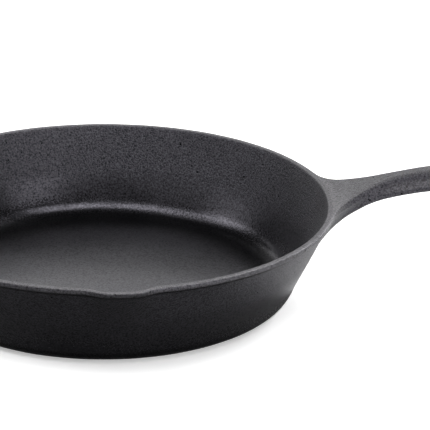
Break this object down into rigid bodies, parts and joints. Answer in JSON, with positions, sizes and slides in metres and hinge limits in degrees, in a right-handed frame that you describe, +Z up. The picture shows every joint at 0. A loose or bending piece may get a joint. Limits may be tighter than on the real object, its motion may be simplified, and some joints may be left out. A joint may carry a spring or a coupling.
{
  "type": "skillet",
  "caption": "Flared cast iron skillet with a banded rim, a side pour spout and an arched, spined handle that ends in a round hanging eye.",
  "frame": {"origin": "centre of the flat base, on the surface that the skillet rests on", "axes": "+Z up along the pan's axis, +X out along the handle, -Y towards the pour spout"},
  "size_m": [0.4525, 0.3113, 0.0819],
  "materials": {
    "cast_iron": "pre-seasoned, satin near-black, fine sand-cast grain"
  },
  "bodies": {
    "root": {"cooking_floor": "cast_iron", "corner_ring": "cast_iron", "side_wall": "cast_iron", "rim_band": "cast_iron", "pour_spout": "cast_iron", "handle_root": "cast_iron", "handle_grip": "cast_iron", "grip_spine": "cast_iron", "hanging_eye": "cast_iron"}
  },
  "joints": []
}
